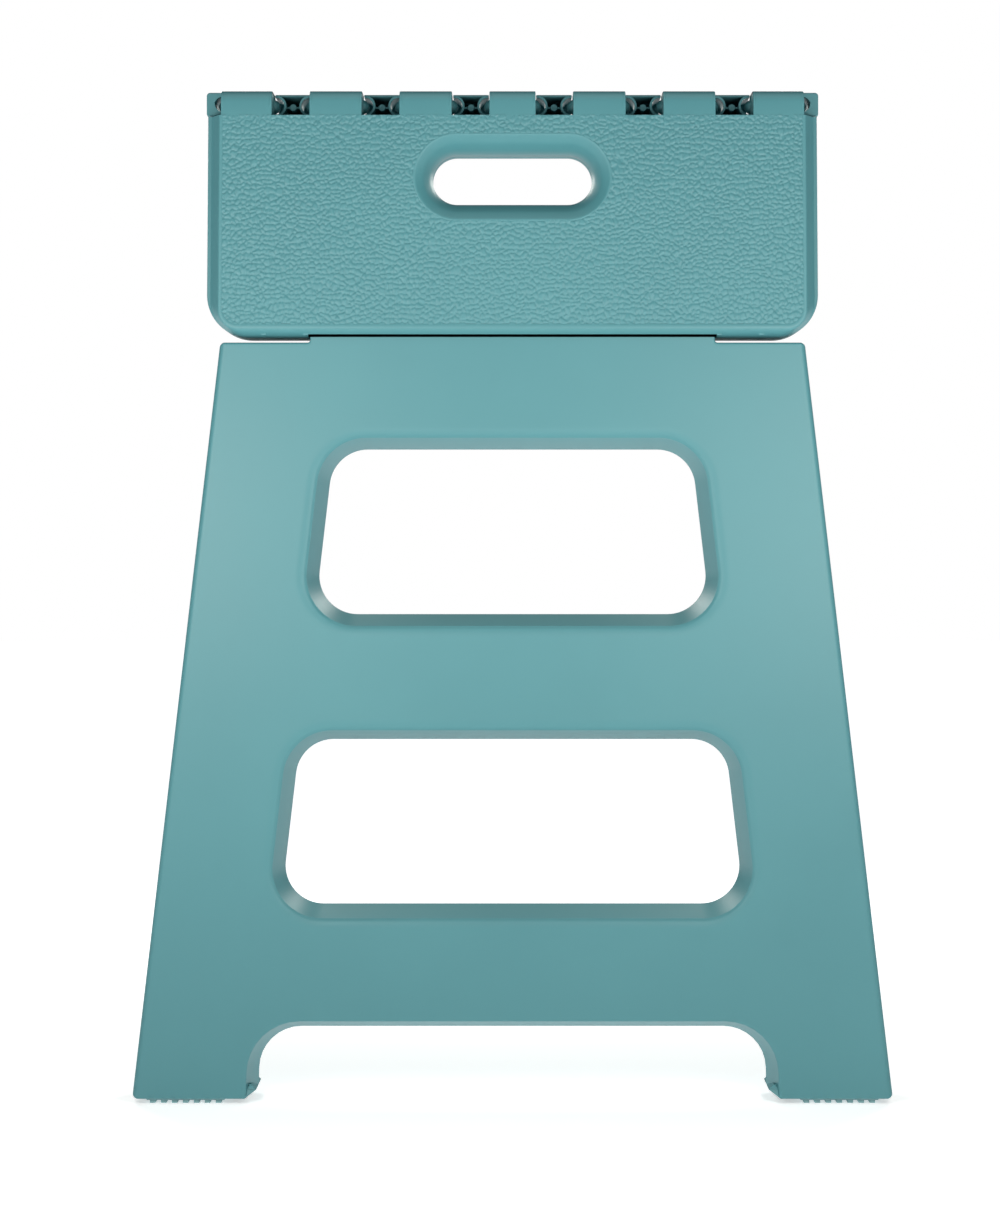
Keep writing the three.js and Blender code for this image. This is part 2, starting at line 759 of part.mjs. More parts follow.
function rightSideRod() {
  const reach = barrelLength / 2 + slimGap + lugLength;
  const top = Math.min(bandMiddle(bands[2]) + reach, alongAt(shoulderZ - wall, 0));
  return roundBar(sideRodRadius, 0, 0, bandMiddle(bands[0]) - reach, top);
}

function rightFoldPin([low, high]) {
  return roundBar(foldPinRadius, -linkLength, pivotInset, low + pinInset, high - pinInset);
}

// Pad of the right front foot, with ribs across its bottom.
function rightPad() {
  const inner = padInner;
  const shape = new THREE.Shape();
  const count = Math.floor(padWidth / padRib / 2);
  const start = inner + (padWidth - (2 * count - 1) * padRib) / 2;
  const top = soleHeight - padRoom;
  shape.moveTo(inner, padGroove);
  for (let i = 0; i < count; i += 1) {
    const x = start + 2 * i * padRib;
    shape.lineTo(x, padGroove);
    shape.lineTo(x, 0);
    shape.lineTo(x + padRib, 0);
    shape.lineTo(x + padRib, padGroove);
  }
  shape.lineTo(inner + padWidth, padGroove);
  shape.lineTo(inner + padWidth, top);
  shape.lineTo(inner, top);
  return slab(shape, plateBackY + padRoom, -meetGap - soleInset - padRoom);
}

// ---- The stool.

function finish(color, roughness, metalness) {
  return new THREE.MeshStandardMaterial({ color, roughness, metalness });
}
const plastic = finish(teal, tealRoughness, 0);
const rubber = finish(padColour, padRoughness, 0);
const steel = finish(steelColour, steelRoughness, 1);

const stool = new THREE.Group();
function place(name, solid, material) {
  const mesh = new THREE.Mesh(geometryOf(solid), material);
  mesh.name = name;
  stool.add(mesh);
}

const leg = frontLeg();
place("front_leg", leg, plastic);
place("back_leg", mirrored(leg, false, true), plastic);
place("front_seat", seatHalf(frontFingers()).subtract(blockRoom()), plastic);
place("back_seat", mirrored(seatHalf(backFingers()), false, true), plastic);

const outerHalf = sideHalf(false);
const middleHalf = sideHalf(true);
const pad = rightPad();
const sideRod = rightSideRod();
[
  ["right", false],
  ["left", true],
].forEach(([side, left]) => {
  place(`${side}_front_side`, mirrored(outerHalf, left, false), plastic);
  place(`${side}_back_side`, mirrored(middleHalf, left, true), plastic);
  place(`front_${side}_pad`, mirrored(pad, left, false), rubber);
  place(`back_${side}_pad`, mirrored(pad, left, true), rubber);
  place(`${side}_front_rod`, mirrored(sideRod, left, false), steel);
  place(`${side}_back_rod`, mirrored(sideRod, left, true), steel);
  ["lower", "middle", "upper"].forEach((level, i) => {
    place(`${side}_${level}_pin`, mirrored(rightFoldPin(bands[i]), left, false), steel);
  });
});

place("front_seat_rod", seatRod(), steel);
place("back_seat_rod", mirrored(seatRod(), false, true), steel);

export default stool;
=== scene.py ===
import json
import math

import bmesh
import bpy
import numpy as np
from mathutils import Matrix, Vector, geometry


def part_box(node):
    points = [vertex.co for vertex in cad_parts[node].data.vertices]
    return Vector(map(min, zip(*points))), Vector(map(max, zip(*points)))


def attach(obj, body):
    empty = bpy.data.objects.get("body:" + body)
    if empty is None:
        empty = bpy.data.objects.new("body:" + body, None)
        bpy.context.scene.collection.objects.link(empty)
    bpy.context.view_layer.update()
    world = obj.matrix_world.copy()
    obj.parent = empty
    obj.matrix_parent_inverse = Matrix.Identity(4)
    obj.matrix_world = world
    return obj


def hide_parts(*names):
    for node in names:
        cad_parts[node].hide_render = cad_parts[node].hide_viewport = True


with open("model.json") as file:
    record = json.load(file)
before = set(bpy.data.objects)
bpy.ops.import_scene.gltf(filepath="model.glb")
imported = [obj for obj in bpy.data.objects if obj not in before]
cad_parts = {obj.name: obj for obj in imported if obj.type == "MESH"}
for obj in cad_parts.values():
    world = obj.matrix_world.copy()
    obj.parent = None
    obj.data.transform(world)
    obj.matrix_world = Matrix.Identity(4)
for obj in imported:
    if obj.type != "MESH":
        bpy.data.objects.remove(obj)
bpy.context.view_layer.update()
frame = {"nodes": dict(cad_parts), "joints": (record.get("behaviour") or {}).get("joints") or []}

# Folding step stool, folded flat and upright. Metres. The front leg faces -Y, the middle plane
# between the front and the back half is y = 0, and the floor is z = 0.
mm = 0.001


legLow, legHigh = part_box("front_leg")
seatLow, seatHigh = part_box("front_seat")
joints = {j["name"]: j for j in frame["joints"]}
seatPivot = joints["fold"]["pos_m"]
hingeZ = joints["seat_centre"]["pos_m"][2]
sideAxis = joints["right_back_side_swing"]["axis"]
edgeSlope = -sideAxis[0] / sideAxis[2]
edgeCos = 1 / math.hypot(1, edgeSlope)
legFace = legLow.y
stepFace = seatLow.y
footZ = legLow.z
pivotInset = -seatPivot[1]


# X of the line along the leg's outer edge: the rod's line moved out by the rod's inset.
def edgeX(z, inset=0.0):
    rod = joints["right_front_side_swing"]["pos_m"][0]
    return rod + (pivotInset - inset) / edgeCos - edgeSlope * z


# A rounded polygon moved inwards. Each side moves by its own inset to the left of travel, each new
# corner is where two moved sides cross, and an arc of the corner's radius, less the inset on an
# outer corner or plus it on an inner one, is sampled at steps points.
def ring(corners, inset, steps):
    corners = np.asarray(corners, float)
    inset = np.broadcast_to(np.asarray(inset, float), len(corners))
    here = corners[:, :2]
    along = np.roll(here, -1, 0) - here
    along /= np.linalg.norm(along, axis=1, keepdims=True)
    left = np.stack([-along[:, 1], along[:, 0]], 1)
    base = here + left * inset[:, None]
    before, beforeBase = np.roll(along, 1, 0), np.roll(base, 1, 0)
    cross = before[:, 0] * along[:, 1] - before[:, 1] * along[:, 0]
    gap = base - beforeBase
    reach = (gap[:, 0] * along[:, 1] - gap[:, 1] * along[:, 0]) / cross
    corner = beforeBase + before * reach[:, None]
    turn = np.arctan2(cross, (before * along).sum(1))
    side = np.sign(turn)
    insetBefore = np.roll(inset, 1)
    shrink = np.where(side > 0, np.maximum(inset, insetBefore), np.minimum(inset, insetBefore))
    radius = np.maximum(corners[:, 2] - side * shrink, 0.00005)
    start = corner - before * (radius * np.tan(np.abs(turn) / 2))[:, None]
    middle = start + np.roll(left, 1, 0) * (radius * side)[:, None]
    spoke = start - middle
    angle = turn[:, None] * np.linspace(0, 1, steps)[None, :]
    cos, sin = np.cos(angle), np.sin(angle)
    x = middle[:, :1] + spoke[:, :1] * cos - spoke[:, 1:] * sin
    z = middle[:, 1:] + spoke[:, :1] * sin + spoke[:, 1:] * cos
    return np.stack([x.ravel(), z.ravel()], 1)


# One value per side becomes one per ring point: it turns from side to side over each arc.
def blendSides(values, steps):
    values = np.asarray(values, float)
    share = np.linspace(0, 1, steps)[None, :]
    return (np.roll(values, 1)[:, None] * (1 - share) + values[:, None] * share).ravel()


# A profile carried round a rounded polygon: rows hold (inset, depth), each one number or one per
# side, and the result is a grid of points with a row for each, x, depth, z.
def rim(corners, rows, steps=7):
    count = len(corners)
    grid = []
    for inset, depth in rows:
        flat = ring(corners, inset, steps)
        deep = blendSides(np.broadcast_to(np.asarray(depth, float), count), steps)
        grid.append(np.stack([flat[:, 0], deep, flat[:, 1]], 1))
    return np.array(grid)


# A closed skin: grids that each close on themselves round their columns, joined by flat caps across
# their first rows and across their last rows.
def shell(name, rims, capFirst=True, capLast=True):
    points, faces, starts = [], [], []
    offset = 0
    for grid in rims:
        rows, columns = grid.shape[:2]
        index = offset + np.arange(rows * columns).reshape(rows, columns)
        after = np.roll(index, -1, 1)
        quads = np.stack([index[:-1], after[:-1], after[1:], index[1:]], -1).reshape(-1, 4)
        faces += quads.tolist()
        points.append(grid.reshape(-1, 3))
        starts.append(index)
        offset += rows * columns
    points = np.concatenate(points)
    for wanted, row in ((capFirst, 0), (capLast, -1)):
        if wanted:
            loops = [index[row] for index in starts]
            flat = [[Vector(points[i]) for i in loop] for loop in loops]
            order = np.concatenate(loops)
            faces += [[int(order[i]) for i in tri] for tri in geometry.tessellate_polygon(flat)]
    return makeMesh(name, points, faces)


# A mesh from points and faces, its doubles merged and its faces turned outwards.
def makeMesh(name, points, faces, sharp=38):
    mesh = bpy.data.meshes.new(name)
    mesh.from_pydata(np.asarray(points).tolist(), [], faces)
    work = bmesh.new()
    work.from_mesh(mesh)
    bmesh.ops.remove_doubles(work, verts=work.verts, dist=1e-6)
    bmesh.ops.dissolve_degenerate(work, edges=work.edges, dist=1e-7)
    bmesh.ops.recalc_face_normals(work, faces=work.faces)
    work.to_mesh(mesh)
    work.free()
    mesh.polygons.foreach_set("use_smooth", [True] * len(mesh.polygons))
    mesh.set_sharp_from_angle(angle=math.radians(sharp))
    return mesh


# A surface over a grid of points, closed on itself in either direction if asked.
def gridMesh(name, points, closeU=False, closeV=False):
    rows, columns = points.shape[:2]
    index = np.arange(rows * columns).reshape(rows, columns)
    if closeU:
        index = np.concatenate([index, index[:1]], 0)
    if closeV:
        index = np.concatenate([index, index[:, :1]], 1)
    quads = np.stack([index[:-1, :-1], index[:-1, 1:], index[1:, 1:], index[1:, :-1]], -1)
    return makeMesh(name, points.reshape(-1, 3), quads.reshape(-1, 4).tolist())


# A profile of (along, radius) turned about an axis through centre: a grid over length and angle,
# whose ends lie on the axis.
def turned(name, profile, centre, axis, sides=24):
    profile = np.asarray(profile, float)
    axis = np.asarray(axis, float) / np.linalg.norm(axis)
    across = np.cross(axis, [0, 0, 1.0] if abs(axis[2]) < 0.9 else [1.0, 0, 0])
    across /= np.linalg.norm(across)
    other = np.cross(axis, across)
    angle = np.linspace(0, 2 * np.pi, sides, endpoint=False)
    spoke = np.cos(angle)[:, None] * across + np.sin(angle)[:, None] * other
    points = (
        np.asarray(centre, float)
        + profile[:, None, :1] * axis
        + profile[:, None, 1:] * spoke[None]
    )
    return gridMesh(name, points, closeV=True)


# Boxes with small chamfers: each is a rounded rectangle in x and z carried from y to y.
def boxes(name, spans, bevel=0.0003):
    parts = []
    for x0, x1, y0, y1, z0, z1 in spans:
        corners = [(x0, z0, 0), (x1, z0, 0), (x1, z1, 0), (x0, z1, 0)]
        rows = [(bevel, y0), (0, y0 + bevel), (0, y1 - bevel), (bevel, y1)]
        parts.append(shell(name, [rim(corners, rows, 2)]))
    return parts


# Several meshes as one object.
def joinMeshes(name, meshes):
    work = bmesh.new()
    for mesh in meshes:
        work.from_mesh(mesh)
    whole = bpy.data.meshes.new(name)
    work.to_mesh(whole)
    work.free()
    for mesh in meshes:
        bpy.data.meshes.remove(mesh)
    piece = bpy.data.objects.new(name, whole)
    bpy.context.scene.collection.objects.link(piece)
    return piece


# A mesh seen in a mirror, with its faces turned outwards again.
def mirrorPiece(mesh, acrossX, acrossY):
    copy = mesh.copy()
    points = np.empty(len(copy.vertices) * 3)
    copy.vertices.foreach_get("co", points)
    points = points.reshape(-1, 3) * [-1 if acrossX else 1, -1 if acrossY else 1, 1]
    copy.vertices.foreach_set("co", points.ravel())
    if acrossX != acrossY:
        copy.flip_normals()
    copy.update()
    return copy


# An empty node tree with a Principled shader on its output.
def newMaterial(name):
    material = bpy.data.materials.new(name)
    material.use_nodes = True
    nodes, links = material.node_tree.nodes, material.node_tree.links
    nodes.clear()
    output = nodes.new("ShaderNodeOutputMaterial")
    shader = nodes.new("ShaderNodeBsdfPrincipled")
    links.new(shader.outputs[0], output.inputs[0])
    return material, nodes, links, shader


# Noise on Object coordinates, as a socket from 0 to 1.
def noiseSocket(nodes, links, scale, detail=2):
    place = nodes.new("ShaderNodeTexCoord")
    noise = nodes.new("ShaderNodeTexNoise")
    noise.inputs["Scale"].default_value = scale
    noise.inputs["Detail"].default_value = detail
    links.new(place.outputs["Object"], noise.inputs["Vector"])
    return noise.outputs["Fac"]


# The base colour runs from deep to light as the noise runs from 0 to 1.
def mixColours(nodes, links, shader, noise, deep, light):
    mix = nodes.new("ShaderNodeMix")
    mix.data_type = "RGBA"
    mix.inputs["A"].default_value = (*deep, 1)
    mix.inputs["B"].default_value = (*light, 1)
    links.new(noise, mix.inputs["Factor"])
    links.new(mix.outputs["Result"], shader.inputs["Base Color"])


# The roughness runs from low to high as the noise runs from 0 to 1.
def mixRoughness(nodes, links, shader, noise, low, high):
    rough = nodes.new("ShaderNodeMapRange")
    rough.inputs["To Min"].default_value = low
    rough.inputs["To Max"].default_value = high
    links.new(noise, rough.inputs["Value"])
    links.new(rough.outputs["Result"], shader.inputs["Roughness"])


# The noise as fine relief, so many metres deep.
def addRelief(nodes, links, shader, noise, strength, depth):
    bump = nodes.new("ShaderNodeBump")
    bump.inputs["Strength"].default_value = strength
    bump.inputs["Distance"].default_value = depth
    links.new(noise, bump.inputs["Height"])
    links.new(bump.outputs["Normal"], shader.inputs["Normal"])


plastic = {
    "deep": (0.062, 0.213, 0.240),
    "light": (0.080, 0.258, 0.285),
    "roughness": (0.42, 0.52),
    "specular": 0.5,
    "fineGrain": 2600,
    "fineStrength": 0.35,
    "fineDepth": 0.03 * mm,
    "cloud": 9,
}


# Moulded polypropylene: soft clouds of two near colours and a fine matt grain.
def plasticMaterial(name):
    s = plastic
    material, nodes, links, shader = newMaterial(name)
    cloud = noiseSocket(nodes, links, s["cloud"], 3)
    mixColours(nodes, links, shader, cloud, s["deep"], s["light"])
    mixRoughness(nodes, links, shader, cloud, *s["roughness"])
    shader.inputs["Specular IOR Level"].default_value = s["specular"]
    fine = noiseSocket(nodes, links, s["fineGrain"])
    addRelief(nodes, links, shader, fine, s["fineStrength"], s["fineDepth"])
    return material


rubber = {
    "deep": (0.22, 0.42, 0.44),
    "light": (0.30, 0.50, 0.52),
    "roughness": 0.75,
    "mottle": 300,
    "fineStrength": 0.3,
    "fineDepth": 0.05 * mm,
}


# Soft pad rubber: pale, matt, with a faint mottling.
def rubberMaterial():
    s = rubber
    material, nodes, links, shader = newMaterial("padRubber")
    mottle = noiseSocket(nodes, links, s["mottle"])
    mixColours(nodes, links, shader, mottle, s["deep"], s["light"])
    shader.inputs["Roughness"].default_value = s["roughness"]
    addRelief(nodes, links, shader, mottle, s["fineStrength"], s["fineDepth"])
    return material


steel = {
    "colour": (0.62, 0.63, 0.64),
    "roughness": (0.25, 0.45),
    "speckle": 900,
}


# Steel wire: bright, with a finely uneven satin gloss.
def steelMaterial():
    s = steel
    material, nodes, links, shader = newMaterial("pinSteel")
    speckle = noiseSocket(nodes, links, s["speckle"], 4)
    mixRoughness(nodes, links, shader, speckle, *s["roughness"])
    shader.inputs["Metallic"].default_value = 1
    shader.inputs["Base Color"].default_value = (*s["colour"], 1)
    return material


legPlastic = plasticMaterial("legPlastic")
seatPlastic = plasticMaterial("seatPlastic")
grainPlastic = plasticMaterial("grainPlastic")
padRubber = rubberMaterial()
pinSteel = steelMaterial()
print("materials made")


# A finished piece: its material, the body it rides on and the node it stands for.
def finish(piece, body, material, slot, *replaced):
    piece.data.materials.clear()
    piece.data.materials.append(material)
    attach(piece, body)
    if replaced:
        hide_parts(*replaced)
    return piece


leg = {
    "plate": 2.8 * mm,
    "wall": 2.5 * mm,
    "backGap": 0.4 * mm,
    "flangeEnd": 2.6 * mm,  # the long edges stop this far from the middle plane
    "shoulderZ": 360.07 * mm,
    "tabHalf": 95.7 * mm,
    "archHalf": 126 * mm,
    "archTop": 38.9 * mm,
    "archRadius": 25 * mm,
    "archDraft": 4.5 * mm,
    "soleRise": 4 * mm,
    "windowMargin": 52.7 * mm,
    "windowRadius": 24 * mm,
    "windowDraft": 6 * mm,
    "windowLift": (87.1 * mm, 225.5 * mm),
    "windowHeight": 90.1 * mm,
    "windowRoll": (4.6 * mm, 0.9 * mm),  # width and depth of the soft roll before the crease
    "ribPitch": (24 * mm, 38 * mm),  # between columns, between rows
    "ribDepth": 3.3 * mm,
    "ribWidth": 1.6 * mm,
    "ribRoots": 0.4 * mm,  # the ribs start this far inside the face's back
    "ribBottom": 12 * mm,
    "ribFromTop": 2 * mm,
    "ribFromEdge": 18 * mm,  # room for the side panel's hinge
    "ribClear": 0.4 * mm,  # between a rib and the wall round an opening
    "shortest": 2 * mm,  # shorter pieces of rib are left out
}


# Corners of the leg as x, z, radius, anticlockwise from the right foot.
def legOutline():
    s = leg
    top = legHigh.z
    half = [
        (edgeX(footZ), footZ, 2.5 * mm),
        (edgeX(s["shoulderZ"]), s["shoulderZ"], 2.5 * mm),
        (s["tabHalf"], s["shoulderZ"], 1.2 * mm),
        (s["tabHalf"], top, 2 * mm),
    ]
    arch = [(-s["archHalf"], footZ, 1 * mm), (-s["archHalf"] + 1 * mm, s["archTop"], s["archRadius"])]
    flip = [(-x, z, r) for x, z, r in reversed(half)]
    archRight = [(-x, z, r) for x, z, r in reversed(arch)]
    return half + flip + arch + archRight


# Profile of the leg's edge as rows of inset and depth, one value for each side: the face, a quarter
# round, the wall, its back rim, the inner wall, the back of the face. The sides in order are long
# edge, shoulder, tab side, tab top, then the mirror of those three, foot, arch side, arch top, arch
# side, foot.
def legRows():
    s = leg
    deep = -legFace - s["backGap"]
    long, tab = -legFace - s["flangeEnd"], -legFace - pivotInset
    foot = s["plate"]
    radius = mm * np.array([2.6, 1.0, 0.8, 8.5, 0.8, 1.0, 2.6, 0.7, 1.3, 1.1, 1.3, 0.7])
    end = np.array([long, deep, deep, tab + 0.3 * mm, deep, deep, long, foot, deep, deep, deep, foot])
    d = s["archDraft"]
    draft = np.array([0, 0, 0, 0, 0, 0, 0, s["soleRise"], -d, -d, -d, s["soleRise"]])
    inner = s["wall"] + mm * np.array([0, 0, 0, 3.6, 0, 0, 0, 0, 0, 0, 0, 0])
    rows = [(radius + 0.9 * mm, 0 * end)]
    for angle in np.radians(np.linspace(0, 90, 7)):
        rows.append((radius * (1 - math.sin(angle)), np.minimum(radius * (1 - math.cos(angle)), end)))
    lip = 0.45 * mm
    rows += [
        (draft, np.maximum(end - lip, radius)),
        (draft + 0.3 * lip, end - 0.3 * lip),
        (draft + lip, end),
        (draft + inner - lip, end),
        (draft + inner - 0.3 * lip, end - 0.3 * lip),
        (draft + inner, np.maximum(end - lip, s["plate"])),
        (draft * 0.25 + inner, s["plate"] + np.minimum(end - s["plate"], 0.8 * mm) * 0.9),
        (draft * 0.2 + inner + 0.8 * mm, 0 * end + s["plate"]),
        (draft * 0.2 + inner + 1.6 * mm, 0 * end + s["plate"]),
    ]
    return rows


# A window's rim, clockwise so that the leg lies to the left of travel.
def windowCorners(low):
    s = leg
    high = low + s["windowHeight"]
    right = [(edgeX(low, s["windowMargin"]), low, s["windowRadius"]),
             (edgeX(high, s["windowMargin"]), high, s["windowRadius"])]
    left = [(-x, z, r) for x, z, r in right]
    return [right[0], left[0], left[1], right[1]]


# Profile of a window's rim as rows of inset and depth: a soft roll whose depth rises as the power
# 2.2 of its width, a crease, a wall on a straight slope to the middle plane, a small lip there, and
# the wall's outside back up to the leg's face.
def windowRows():
    s = leg
    deep = -legFace - s["backGap"]
    slope = s["windowDraft"] / -legFace
    roll, sink = s["windowRoll"]
    rows = [(roll + 1 * mm, 0)]
    for share in np.linspace(0, 1, 7):
        rows.append((roll * (1 - share) + 0.25 * mm, sink * share**2.2))
    rows.append((0.05 * mm, sink + 0.25 * mm))
    rows.append((-slope * (sink + 0.6 * mm), sink + 0.6 * mm))
    lip = 0.5 * mm
    wall = s["wall"]
    edge = -slope * deep
    rows += [
        (-slope * (deep - lip), deep - lip),
        (edge + 0.3 * lip, deep - 0.3 * lip),
        (edge + lip, deep),
        (edge + wall - lip, deep),
        (edge + wall, deep - lip),
        (-slope * s["plate"] + wall, s["plate"] + 0.6 * mm),
        (-slope * s["plate"] + wall + 0.6 * mm, s["plate"]),
        (-slope * s["plate"] + wall + 1.5 * mm, s["plate"]),
    ]
    return rows


# What is left of a stretch after the holes are taken out of it.
def cutSpans(low, high, holes):
    spans = []
    for start, stop in sorted(holes):
        if start > low:
            spans.append((low, min(start, high)))
        low = max(low, stop)
    if low < high:
        spans.append((low, high))
    return [(a, b) for a, b in spans if b - a > leg["shortest"]]


# Ribs on the back of the face: columns and rows on a fixed pitch, each cut where it would cross a
# window, the arch or the side panel's hinge.
def legRibs():
    s = leg
    front = legFace + s["plate"] - s["ribRoots"]
    back = legFace + s["plate"] + s["ribDepth"]
    half = s["ribWidth"] / 2
    bottom, top = s["ribBottom"], s["shoulderZ"] - s["ribFromTop"]
    clear = s["wall"] + s["ribClear"]
    spans = []
    count = int(edgeX(0) / s["ribPitch"][0])
    for i in range(-count, count + 1):
        x = i * s["ribPitch"][0]
        holes = [(z - clear, z + s["windowHeight"] + clear) for z in s["windowLift"]
                 if abs(x) < edgeX(z, s["windowMargin"]) + clear]
        if abs(x) < s["archHalf"] + clear:
            holes.append((0, s["archTop"] + clear))
        reach = (edgeX(0, s["ribFromEdge"]) - abs(x)) / edgeSlope
        for z0, z1 in cutSpans(bottom, min(top, reach), holes):
            spans.append((x - half, x + half, front, back, z0, z1))
    z = footZ + s["ribPitch"][1]
    while z < top:
        edge = edgeX(z, s["ribFromEdge"])
        holes = [(-edgeX(w, s["windowMargin"]) - clear, edgeX(w, s["windowMargin"]) + clear)
                 for w in s["windowLift"] if w - clear < z < w + s["windowHeight"] + clear]
        if z < s["archTop"] + clear:
            holes.append((-s["archHalf"] - clear, s["archHalf"] + clear))
        for x0, x1 in cutSpans(-edge, edge, holes):
            spans.append((x0, x1, front, back, z - half, z + half))
        z += s["ribPitch"][1]
    return boxes("legRib", spans)


# The moulded leg panel, facing the front.
def legMeshes():
    outline = rim(legOutline(), legRows(), 9)
    windows = [rim(windowCorners(z), windowRows(), 17) for z in leg["windowLift"]]
    grids = [outline, *windows]
    for grid in grids:
        grid[..., 1] += legFace
    return [shell("legSkin", grids), *legRibs()]


for name, back in (("front_leg", False), ("back_leg", True)):
    meshes = legMeshes()
    if back:
        meshes = [mirrorPiece(m, False, True) for m in meshes]
    piece = joinMeshes(name + "_panel", meshes)
    finish(piece, name, legPlastic, "leg_plastic", name)
print("leg panels made")


# A closed section carried along an open path: the grid's rows close on themselves and its first and
# last columns are capped.
def rail(name, grid):
    rows, columns = grid.shape[:2]
    index = np.arange(rows * columns).reshape(rows, columns)
    index = np.concatenate([index, index[:1]], 0)
    quads = np.stack([index[:-1, :-1], index[:-1, 1:], index[1:, 1:], index[1:, :-1]], -1)
    faces = quads.reshape(-1, 4).tolist()
    points = grid.reshape(-1, 3)
    for column in (0, -1):
        loop = index[:-1, column]
        flat = [[Vector(points[i]) for i in loop]]
        faces += [[int(loop[i]) for i in tri] for tri in geometry.tessellate_polygon(flat)]
    return makeMesh(name, points, faces)


# A rounded outline in y and z carried along x, its two ends lightly chamfered.
def bar(name, corners, low, high, steps=7, chamfer=0.2 * mm):
    rows = [(chamfer, low), (0, low + chamfer), (0, high - chamfer), (chamfer, high)]
    grid = rim(corners, rows, steps)
    return shell(name, [np.stack([grid[..., 1], grid[..., 0], grid[..., 2]], -1)])


# A thin wall that follows a path in x and z: the path moved both ways along its normal, carried
# from front to back.
def wallAlongY(name, path, thick, front, back):
    along = np.gradient(path, axis=0)
    along /= np.linalg.norm(along, axis=1, keepdims=True)
    normal = np.stack([-along[:, 1], along[:, 0]], 1) * thick / 2
    loop = np.concatenate([path + normal, (path - normal)[::-1]])
    grid = np.array([[(x, y, z) for x, z in loop] for y in (front, back)])
    return shell(name, [grid])


seat = {
    "halfWidth": (145.0 * mm, 144.3 * mm),
    "corner": 20 * mm,
    "topZ": 467.2 * mm,
    "backGap": 0.4 * mm,
    "tabHalf": 96.5 * mm,
    "plate": 2.8 * mm,
    "slotHalf": (38 * mm, 11.8 * mm),
    "slotBelowHinge": 35.6 * mm,
    "dish": 8.3 * mm,
    "gapCentres": (19.8 * mm, 62.3 * mm, 104.7 * mm),
    "gapHalf": 8.9 * mm,
    "fingerEnd": 137.6 * mm,
    "slimGap": 0.4 * mm,
    "reach": 5.6 * mm,
    "round": 6 * mm,
    "thin": 1.2 * mm,
    "dome": 3.6 * mm,
    "blockFront": 9.3 * mm,  # end blocks reach this far past the middle plane
    "blockRound": 1.6 * mm,
    "blockWide": 0.3 * mm,  # end blocks stand this far proud of the seat's edge
    "blockGap": 0.8 * mm,  # between the turning blocks and the side walls
    "notchDepth": 10.2 * mm,  # how deep the side walls are beside the blocks
    "rodAbove": 9.3 * mm,  # the walls round the rods end this far above them
    "ribWidth": 2.5 * mm,
    "ribFromEdge": 9 * mm,
    "ribFromMiddle": 5 * mm,
    "rodWalls": (0, 20 * mm),  # the walls that hold a rod's end, out from the leg's tab
    "slotClear": 8 * mm,  # ribs stop this far from the slot
}


# Section of the seat's border and side wall, as inset and depth for the sides, then for the bottom,
# then the change of the corner's radius: out round the lip, up the slope, over the smooth land
# beside the grain and back along the inside.
def borderRows():
    deep = -stepFace - seat["backGap"]
    deep = deep / mm
    return [
        (0.3, deep, 0.3, deep, 0),
        (0.0, deep - 0.3, 0.0, deep - 0.3, 0),
        (0.0, 8.3, 0.0, 9.5, 0),
        (0.1, 7.8, 0.05, 8.4, 0),
        (0.4, 7.5, 0.25, 6.8, -0.2),
        (1.7, 7.4, 0.7, 4.9, -1.0),
        (2.0, 7.1, 1.3, 3.1, -1.4),
        (4.1, 3.5, 2.2, 1.5, -2.8),
        (5.8, 0.45, 3.1, 0.55, -4.2),
        (6.05, 0.16, 3.6, 0.2, -4.4),
        (6.35, 0.03, 4.1, 0.05, -4.6),
        (6.65, 0.0, 4.6, 0.0, -4.8),
        (7.4, 0.0, 5.8, 0.0, -4.8),
        (7.7, 0.15, 6.1, 0.15, -4.8),
        (7.8, 0.7, 6.2, 0.7, -4.8),
        (7.8, 2.6, 6.2, 2.6, -4.8),
        (7.6, 2.8, 6.0, 2.8, -4.8),
        (7.2, 4.0, 5.2, 3.6, -4.4),
        (2.5, 10.0, 2.5, 9.0, 0),
        (2.5, deep - 0.3, 2.5, deep - 0.3, 0),
        (2.2, deep, 2.2, deep, 0),
    ]


